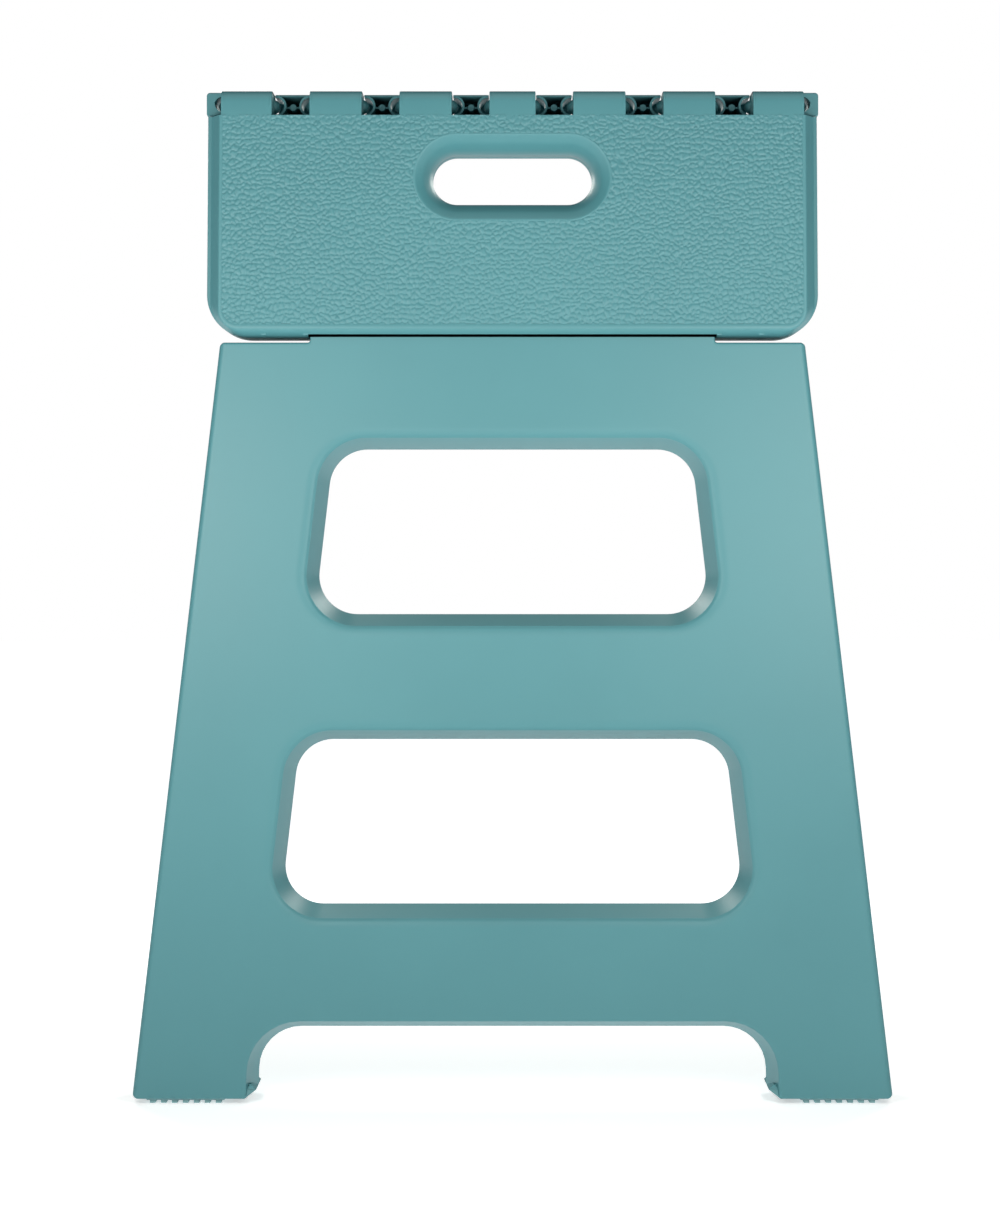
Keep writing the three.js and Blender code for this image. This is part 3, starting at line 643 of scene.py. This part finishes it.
# The border carried down one side, round the corner and along the bottom. Over the leg's tab its
# side wall is only as deep as the plate, and a notched half's side walls stop short of the hinge,
# clear of the other half's end blocks.
def borderMeshes(notched):
    s = seat
    wide, narrow = s["halfWidth"]
    low, top = seatLow.z, s["topZ"]
    steps = 17
    corners = [(wide, low, s["corner"]), (narrow, top, 0), (-narrow, top, 0), (-wide, low, s["corner"])]
    full, thin = [], []
    for sideInset, sideDepth, lowInset, lowDepth, radius in borderRows():
        shaped = [(x, z, r + radius * mm if r else 0) for x, z, r in corners]
        inset = mm * np.array([sideInset, 0, sideInset, lowInset])
        for limit, rows in ((99, full), (s["plate"] / mm, thin)):
            depth = mm * np.minimum([sideDepth, 0, sideDepth, lowDepth], limit)
            rows.append(rim(shaped, [(inset, depth)], steps)[0])
    full, thin = np.array(full), np.array(thin)
    for grid in (full, thin):
        grid[..., 1] += stepFace
    cornerColumns = full[:, 0:steps]
    middle = cornerColumns[:, :1].copy()
    middle[..., 0] = s["tabHalf"]
    topEnd = full[:, steps:steps + 1].copy()
    stop = hingeZ - math.hypot(s["blockFront"], s["reach"]) - s["blockGap"]
    pieces = []
    if notched:
        share = (stop - cornerColumns[:, -1:, 2:]) / (topEnd[..., 2:] - cornerColumns[:, -1:, 2:])
        notch = cornerColumns[:, -1:] + (topEnd - cornerColumns[:, -1:]) * share
        pieces.append(np.concatenate([middle, cornerColumns, notch], 1))
        upper = np.concatenate([notch, topEnd], 1)
        upper[..., 1] = np.minimum(upper[..., 1], stepFace + s["notchDepth"])
        pieces.append(upper)
    else:
        pieces.append(np.concatenate([middle, cornerColumns, topEnd], 1))
    meshes = [rail("seatBorder", grid) for grid in pieces]
    meshes += [mirrorPiece(mesh, True, False) for mesh in meshes]
    across = np.concatenate([thin[:, :1], thin[:, :1]], 1)
    across[:, 0, 0], across[:, 1, 0] = s["tabHalf"], -s["tabHalf"]
    return meshes + [rail("seatBorder", across)]


# The hand slot's outline, clockwise so that the seat lies to the left of travel.
def slotCorners():
    s = seat
    half, rise = s["slotHalf"]
    z = hingeZ - s["slotBelowHinge"]
    r = rise * 0.998
    return [(half, z - rise, r), (-half, z - rise, r), (-half, z + rise, r), (half, z + rise, r)]


# The dish that rolls over into the slot's wall, and the wall down to the middle plane.
def slotMesh():
    deep = (-stepFace - seat["backGap"]) / mm
    rows = [
        (9.1, 0.7), (9.0, 0.15), (8.6, 0.0), (8.2, 0.05), (7.6, 0.45), (6.4, 1.5), (5.2, 2.6),
        (4.3, 3.5), (3.6, 4.5), (2.6, 6.1), (1.6, 7.8), (1.0, 9.2), (0.5, 10.8), (0.2, 12.2),
        (0.0, 14.0), (0.0, deep - 0.5), (0.15, deep - 0.15), (0.5, deep), (2.0, deep),
        (2.5, deep - 0.4), (2.5, 12.6), (3.6, 9.4), (6.4, 5.4), (8.6, 3.4), (9.1, 2.7),
    ]
    grid = rim(slotCorners(), [(a * mm, d * mm) for a, d in rows], 21)
    grid[..., 1] += stepFace
    return gridMesh("slotRim", grid, closeU=True, closeV=True)


# The flat plate under the grain, with a hole for the dish.
def seatPlate():
    s = seat
    wide, narrow = s["halfWidth"]
    low, top = seatLow.z, s["topZ"]
    corners = [(wide, low, 15.2 * mm), (narrow, top, 0), (-narrow, top, 0), (-wide, low, 15.2 * mm)]
    inset = mm * np.array([7.2, 0.0, 7.2, 5.6])
    outer = rim(corners, [(inset, 0.55 * mm), (inset, 2.75 * mm)], 9)
    hole = rim(slotCorners(), [(8.9 * mm, 0.55 * mm), (8.9 * mm, 2.75 * mm)], 15)
    for grid in (outer, hole):
        grid[..., 1] += stepFace
    return shell("seatPlate", [outer, hole])


grain = {
    "pitch": 0.45 * mm,
    "cell": 2.35 * mm,
    "groove": 0.95 * mm,
    "depth": 0.62 * mm,
    "sink": 0.8 * mm,
    "edge": 0.45 * mm,
    "warp": (7 * mm, 0.55 * mm),
}


# Smooth noise: random numbers on a square lattice, blended by the cubic 3t^2 - 2t^3.
def valueNoise(x, z, size, seed):
    table = np.random.default_rng(seed).uniform(-1, 1, (128, 128))
    u, v = x / size, z / size
    i, j = np.floor(u).astype(int), np.floor(v).astype(int)
    fu, fv = u - i, v - j
    fu, fv = fu * fu * (3 - 2 * fu), fv * fv * (3 - 2 * fv)

    def pick(a, b):
        return table[a % 128, b % 128]

    low = pick(i, j) * (1 - fu) + pick(i + 1, j) * fu
    high = pick(i, j + 1) * (1 - fu) + pick(i + 1, j + 1) * fu
    return low * (1 - fv) + high * fv


# Height of a leather grain, 0 in the creases and 1 on the pebbles: one point is scattered in each
# cell of a warped lattice, and the height rises with the second nearest point's distance less the
# nearest one's.
def pebbles(x, z, seed):
    g = grain
    size, swing = g["warp"]
    u = x + swing * valueNoise(x, z, size, seed + 1)
    v = z + swing * valueNoise(x, z, size, seed + 2)
    random = np.random.default_rng(seed)
    place = random.uniform(0.08, 0.92, (2, 256, 256))
    weight = random.uniform(0, 0.42, (256, 256))
    i, j = np.floor(u / g["cell"]).astype(int), np.floor(v / g["cell"]).astype(int)
    first = np.full(x.shape, 9.0)
    second = np.full(x.shape, 9.0)
    for di in range(-2, 3):
        for dj in range(-2, 3):
            a, b = (i + di) % 256, (j + dj) % 256
            du = i + di + place[0][a, b] - u / g["cell"]
            dv = j + dj + place[1][a, b] - v / g["cell"]
            far = np.hypot(du, dv) - weight[a, b]
            second = np.minimum(second, np.maximum(first, far))
            first = np.minimum(first, far)
    rise = np.clip((second - first) * g["cell"] / g["groove"], 0, 1)
    return 1 - (1 - rise) ** 2


# Distance inside a shape: a box with rounded lower corners whose sides lean by slope.
def roundedInside(x, z, halfX, low, high, radius, slope=0.0):
    side = halfX - slope * (z - low) - np.abs(x)
    under = z - low
    near = np.minimum(np.minimum(side, under), high - z)
    cx, cz = radius - side, radius - under
    atCorner = radius - np.hypot(np.maximum(cx, 0), np.maximum(cz, 0))
    return np.where((cx > 0) & (cz > 0), atCorner, near)


# The grained field on one side of x = 0: a height for each point of a fine grid, sunk below the
# plate outside the field and in the dish, and left out where it would be far inside them.
def grainMesh(name, side, seed):
    s, g = seat, grain
    wide, narrow = s["halfWidth"]
    low, top = seatLow.z + 5.35 * mm, s["topZ"] - 0.05 * mm
    lean = (wide - narrow) / (s["topZ"] - seatLow.z)
    half = wide - 6.95 * mm
    countX, countZ = int(half / g["pitch"]) + 2, int((top - low) / g["pitch"]) + 1
    x = np.linspace(0, half + 0.2 * mm, countX)[None, :] * side + np.zeros((countZ, 1))
    z = np.linspace(low, top, countZ)[:, None] + np.zeros((1, countX))
    field = roundedInside(x, z, half, low, top + 1, 8.7 * mm, lean)
    slotX, slotZ = s["slotHalf"]
    run = slotX - slotZ
    centre = hingeZ - s["slotBelowHinge"]
    slot = np.hypot(np.maximum(np.abs(x) - run, 0), z - centre) - slotZ - s["dish"]
    inside = np.minimum(field, slot)
    share = np.clip(inside / g["edge"], 0, 1)
    share = share * share * (3 - 2 * share)
    height = pebbles(x + 1, z, seed)
    swell = 0.03 * mm * valueNoise(x + 1, z, 5 * mm, seed + 7)
    depth = g["sink"] - (g["sink"] - g["depth"] * (1 - height) + swell) * share
    points = np.stack([x, stepFace + depth, z], -1).reshape(-1, 3)
    index = np.arange(countX * countZ).reshape(countZ, countX)
    quads = np.stack([index[:-1, :-1], index[:-1, 1:], index[1:, 1:], index[1:, :-1]], -1).reshape(-1, 4)
    if side < 0:
        quads = quads[:, ::-1]
    keep = inside.ravel()[quads].max(1) > -0.3 * mm
    used, remap = np.unique(quads[keep], return_inverse=True)
    return quickMesh(name, points[used], remap.reshape(-1, 4))


# A smooth mesh of four-sided faces straight from arrays.
def quickMesh(name, points, quads):
    mesh = bpy.data.meshes.new(name)
    mesh.vertices.add(len(points))
    mesh.vertices.foreach_set("co", points.astype(np.float32).ravel())
    mesh.loops.add(quads.size)
    mesh.loops.foreach_set("vertex_index", quads.astype(np.int32).ravel())
    mesh.polygons.add(len(quads))
    mesh.polygons.foreach_set("loop_start", np.arange(0, quads.size, 4, dtype=np.int32))
    mesh.polygons.foreach_set("use_smooth", np.ones(len(quads), bool))
    mesh.update(calc_edges=True)
    mesh.validate()
    return mesh


# The gaps between the front half's fingers, from left to right.
def gapSpans():
    centres = sorted([-x for x in seat["gapCentres"]] + list(seat["gapCentres"]))
    return [(x - seat["gapHalf"], x + seat["gapHalf"]) for x in centres]


# A hollow hinge finger: a front wall that turns over into the top wall, a floor, and two side
# walls. The side walls either end in the round head about the hinge axis or, on the other half,
# bulge inwards round the dome beside them and carry a web with an ejector mark.
def fingerMeshes(low, high, bulge):
    s = seat
    front, tip, top = stepFace + 0.12 * mm, s["reach"], hingeZ + s["reach"]
    root, thin, floor = s["topZ"] - 2.5 * mm, s["thin"], s["topZ"] + s["thin"]
    cover = [(front, root, 0.2 * mm), (front + 2.4 * mm, root, 0.2 * mm),
             (front + 3.0 * mm, top - thin, 3.4 * mm), (4.2 * mm, top - thin, 0.1 * mm),
             (2.2 * mm, top, 1.6 * mm), (front + 0.9 * mm, top, s["round"])]
    base = [(front + 0.3 * mm, root, 0.2 * mm), (-s["backGap"], root, 0.2 * mm),
            (-s["backGap"], floor, 0.3 * mm), (front + 0.3 * mm, floor, 0.2 * mm)]
    meshes = [bar("finger", cover, low, high), bar("finger", base, low, high, 3)]
    head = [(front + 0.5 * mm, root, 0.2 * mm), (-s["backGap"], root, 0.2 * mm),
            (-s["backGap"], hingeZ - tip, 0.05 * mm), (tip, hingeZ - tip, tip * 0.999),
            (tip, top, tip * 0.999), (front + 0.2 * mm, top - 0.1 * mm, s["round"])]
    if not bulge:
        meshes.append(bar("finger", head, low, low + thin))
        meshes.append(bar("finger", head, high - thin, high))
        return meshes
    radius = s["dome"] + 0.9 * mm
    angle = np.linspace(np.pi / 2, -np.pi / 2, 17)
    for x, way in ((low, 1), (high, -1)):
        arcX = x + way * (0.4 * mm + radius * np.cos(angle))
        arc = np.stack([arcX, hingeZ + radius * np.sin(angle)], 1)
        rise = np.linspace(top - thin / 2, hingeZ + radius, 4)[:-1]
        straight = np.stack([np.full(3, x + way * thin / 2), rise], 1)
        path = np.concatenate([straight, arc])
        meshes.append(wallAlongY("finger", path, thin * 0.85, front + 2 * mm, 4.4 * mm))
    web = hingeZ - 0.5 * mm
    span = (low + radius, high - radius, front + 2 * mm, 1.5 * mm, web - 0.35 * mm, web + 0.35 * mm)
    meshes += boxes("finger", [span], 0.1 * mm)
    mark = [(0, 0), (0, 1.5 * mm), (0.1 * mm, 1.6 * mm), (12 * mm, 1.6 * mm), (12 * mm, 0)]
    meshes.append(turned("finger", mark, ((low + high) / 2, 2.2 * mm, web), (0, -1, 0), 24))
    return meshes


# The two domes on a finger's sides, each a turned quarter circle.
def domeMeshes(low, high):
    angle = np.radians(np.linspace(0, 90, 11))
    r = seat["dome"]
    profile = np.stack([r * np.sin(angle), r * np.cos(angle)], 1)
    profile[-1, 1] = 0
    profile = np.concatenate([[(-0.5 * mm, 0), (-0.5 * mm, r)], profile])
    inwards = 0.9 * mm
    return [turned("dome", profile, (high - inwards, 0, hingeZ), (1, 0, 0), 28),
            turned("dome", profile, (low + inwards, 0, hingeZ), (-1, 0, 0), 28)]


# Blocks at the ends of the hinge, through the whole thickness of the stool, each with a half round
# cup in its inner side: an outline in x and z with a bite, carried from front to back.
def endBlocks():
    s = seat
    wide = s["halfWidth"][0] + s["blockWide"]
    inner = s["fingerEnd"] + s["slimGap"]
    low, top = hingeZ - s["reach"], hingeZ + s["reach"]
    bite = s["dome"] + 0.4 * mm
    angle = np.linspace(-np.pi / 2, np.pi / 2, 19)
    centre = inner - 0.6 * mm
    arc = np.stack([centre + bite * np.cos(angle), hingeZ + bite * np.sin(angle)], 1)
    arc = arc[arc[:, 0] > inner]
    turn = np.linspace(0, np.pi / 2, 8)
    r = s["blockRound"]
    topCorner = np.stack([wide - r + r * np.cos(turn), top - r + r * np.sin(turn)], 1)
    down = np.array([(wide - 0.4 * mm, low), (wide, low + 1 * mm)])
    loop = np.concatenate([[(inner, low)], down, topCorner, [(inner, top)], arc[::-1]])
    rows = []
    for y, shrink in ((s["blockFront"], 0.5), (s["blockFront"] - 0.5 * mm, 0),
                      (stepFace + 1.1 * mm, 0), (stepFace + 0.5 * mm, 0.6)):
        inwards = loop.mean(0) - loop
        flat = loop + inwards / np.linalg.norm(inwards, axis=1, keepdims=True) * shrink * mm
        rows.append(np.stack([flat[:, 0], np.full(len(flat), y), flat[:, 1]], 1))
    block = shell("endBlock", [np.array(rows)])
    return [block, mirrorPiece(block, True, False)]


# The seat half's top wall under the hinge, its ribs and the walls that hold the rod.
def wallMeshes():
    s = seat
    wide = s["halfWidth"][0]
    front, back = stepFace + 2.6 * mm, -s["backGap"]
    top = s["topZ"]
    half = s["fingerEnd"]
    spans = [(-half, half, front, back, top - 2.5 * mm, top)]
    ribBack = back - s["ribFromMiddle"]
    tabTop = seatPivot[2] + s["rodAbove"]
    width = s["ribWidth"]
    edge = wide - s["ribFromEdge"]
    for low, high in gapSpans():
        x = (low + high) / 2
        spans.append((x - 0.9 * mm, x + 0.9 * mm, front, ribBack, tabTop, top - 1 * mm))
    for z in (tabTop, (tabTop + hingeZ) / 2 - 12 * mm):
        spans.append((-edge, edge, front, ribBack, z, z + width))
    for out in s["rodWalls"]:
        x = s["tabHalf"] + out
        for side in (-1, 1):
            ends = sorted([side * x, side * (x + width)])
            spans.append((*ends, front, back, seatLow.z + 1 * mm, tabTop + width))
    return boxes("seatWall", slotSpans(spans), 0.25 * mm)


# The same boxes with those that would cross the slot's dish cut in two beside it.
def slotSpans(spans):
    s = seat
    half, rise = s["slotHalf"]
    z = hingeZ - s["slotBelowHinge"]
    reach = rise + s["slotClear"]
    beside = half + s["slotClear"]
    out = []
    for x0, x1, y0, y1, z0, z1 in spans:
        tall = z1 - z0 > x1 - x0
        if tall and abs(x0 + x1) / 2 < half and z0 < z - reach and z1 > z + reach:
            out += [(x0, x1, y0, y1, z0, z - reach), (x0, x1, y0, y1, z + reach, z1)]
        elif tall and abs(x0 + x1) / 2 < half and z0 < z + reach < z1:
            out.append((x0, x1, y0, y1, z + reach, z1))
        elif not tall and z - reach < (z0 + z1) / 2 < z + reach:
            out += [(x0, -beside, y0, y1, z0, z1), (beside, x1, y0, y1, z0, z1)]
        else:
            out.append((x0, x1, y0, y1, z0, z1))
    return out


# One seat half: its smooth body, with the fingers of its kind, and its grained field.
def seatPieces(name, back):
    gaps = gapSpans()
    meshes = [*borderMeshes(not back), slotMesh(), seatPlate(), *wallMeshes()]
    if back:
        slim = seat["slimGap"]
        for low, high in gaps:
            meshes += fingerMeshes(low + slim, high - slim, True)
    else:
        stops = [-seat["fingerEnd"], *[x for gap in gaps for x in gap], seat["fingerEnd"]]
        for low, high in zip(stops[0::2], stops[1::2]):
            meshes += fingerMeshes(low, high, False) + domeMeshes(low, high)
    if back:
        meshes += endBlocks()
    field = [grainMesh(name, side, 11 + back * 20) for side in (1, -1)]
    if back:
        meshes = [mirrorPiece(m, False, True) for m in meshes]
        field = [mirrorPiece(m, False, True) for m in field]
    body = joinMeshes(name + "_body", meshes)
    finish(body, name, seatPlastic, "seat_plastic", name)
    for label, mesh in zip(("right", "left"), field):
        piece = joinMeshes(f"{name}_{label}_field", [mesh])
        finish(piece, name, grainPlastic, "seat_plastic")


seatPieces("front_seat", False)
seatPieces("back_seat", True)
print("seat halves made")


view = {
    "distance": 1.38,
    "height": 0.270,
    "focal": 2927 / 1217,  # focal length as a share of the picture's height
    "centreShift": (-12.5 / 1217, -75.5 / 1217),
}


# A long lens square on to the step face.
def makeCamera():
    data = bpy.data.cameras.new("camera")
    data.sensor_width = 36
    data.lens = 36 * view["focal"]
    data.shift_x, data.shift_y = view["centreShift"]
    camera = bpy.data.objects.new("camera", data)
    camera.location = (0, stepFace - view["distance"], view["height"])
    camera.rotation_euler = (math.pi / 2, 0, 0)
    bpy.context.scene.collection.objects.link(camera)
    bpy.context.scene.camera = camera


lights = {
    "frontLeft": {"at": (-0.22, -0.42, 0.30), "size": 0.16, "power": 1.08, "aim": (-0.1, 0, 0.27)},
    "frontRight": {"at": (0.22, -0.42, 0.30), "size": 0.16, "power": 1.08, "aim": (0.1, 0, 0.27)},
    "above": {"at": (0, -0.2, 0.95), "size": 0.5, "power": 1.0, "aim": (0, 0, 0.3)},
    "backLeft": {"at": (-0.35, 0.6, 0.62), "size": 0.3, "power": 2.4, "aim": (-0.1, 0, 0.29)},
    "backRight": {"at": (0.35, 0.6, 0.62), "size": 0.3, "power": 2.4, "aim": (0.1, 0, 0.29)},
}
lampColour = (1, 0.985, 0.93)


# Large soft lamps round the stool.
def makeLights():
    for name, s in lights.items():
        data = bpy.data.lights.new(name, "AREA")
        data.size = s["size"]
        data.energy = s["power"]
        data.color = lampColour
        lamp = bpy.data.objects.new(name, data)
        lamp.location = s["at"]
        aim = Vector(s["aim"]) - Vector(s["at"])
        lamp.rotation_euler = aim.to_track_quat("-Z", "Y").to_euler()
        bpy.context.scene.collection.objects.link(lamp)


room = {
    "shown": (1, 1, 1),
    "light": (0.8, 0.92, 1),
    "lightStrength": 0.12,
}


# A white room: the background shows white, and lights the stool more softly than that.
def makeWorld():
    s = room
    world = bpy.data.worlds.new("room")
    bpy.context.scene.world = world
    world.use_nodes = True
    nodes, links = world.node_tree.nodes, world.node_tree.links
    nodes.clear()
    output = nodes.new("ShaderNodeOutputWorld")
    path = nodes.new("ShaderNodeLightPath")
    mix = nodes.new("ShaderNodeMixShader")
    links.new(path.outputs["Is Camera Ray"], mix.inputs[0])
    sides = ((s["light"], s["lightStrength"]), (s["shown"], 1))
    for slot, (colour, strength) in enumerate(sides, 1):
        background = nodes.new("ShaderNodeBackground")
        background.inputs["Color"].default_value = (*colour, 1)
        background.inputs["Strength"].default_value = strength
        links.new(background.outputs[0], mix.inputs[slot])
    links.new(mix.outputs[0], output.inputs[0])


floorPaper = {
    "rings": (0.0001, 0.5, 1.0, 2.0, 6.0),
    "sides": 96,
    "colour": (0.85, 0.86, 0.87),
    "roughness": 0.9,
    "glowFrom": (0.2, 0.5),  # distance from the middle, and the glow up to there
    "glowTo": (0.9, 1.0),
}


# A round pale floor, a grid over radius and angle, that glows like the white room away from the
# stool: the glow rises smoothly with the distance from the middle.
def makeFloor():
    s = floorPaper
    angle = np.linspace(0, 2 * np.pi, s["sides"], endpoint=False)
    radius = np.array(s["rings"])[:, None]
    points = np.stack([radius * np.cos(angle), radius * np.sin(angle), radius * 0 * angle], -1)
    floor = bpy.data.objects.new("floor", gridMesh("floor", points, closeV=True))
    bpy.context.scene.collection.objects.link(floor)
    material, nodes, links, paper = newMaterial("floorPaper")
    paper.inputs["Base Color"].default_value = (*s["colour"], 1)
    paper.inputs["Roughness"].default_value = s["roughness"]
    paper.inputs["Specular IOR Level"].default_value = 0
    paper.inputs["Emission Color"].default_value = (1, 1, 1, 1)
    place = nodes.new("ShaderNodeTexCoord")
    length = nodes.new("ShaderNodeVectorMath")
    length.operation = "LENGTH"
    links.new(place.outputs["Object"], length.inputs[0])
    fade = nodes.new("ShaderNodeMapRange")
    fade.interpolation_type = "SMOOTHSTEP"
    for end, (far, glow) in (("Min", s["glowFrom"]), ("Max", s["glowTo"])):
        fade.inputs["From " + end].default_value = far
        fade.inputs["To " + end].default_value = glow
    links.new(length.outputs["Value"], fade.inputs["Value"])
    links.new(fade.outputs["Result"], paper.inputs["Emission Strength"])
    floor.data.materials.append(material)


makeCamera()
makeLights()
makeWorld()
makeFloor()
bpy.context.scene.view_settings.view_transform = "Standard"
print("camera, lights and floor made")


# The material that suits a CAD node's name.
def nodeMaterial(name):
    if "_pad" in name:
        return padRubber
    if "_rod" in name or "_pin" in name:
        return pinSteel
    return seatPlastic if "seat" in name else legPlastic


for name, node in frame["nodes"].items():
    slots = node.data.materials
    slots.clear()
    slots.append(nodeMaterial(name))
print("pads, side panels, rods and pins coloured")
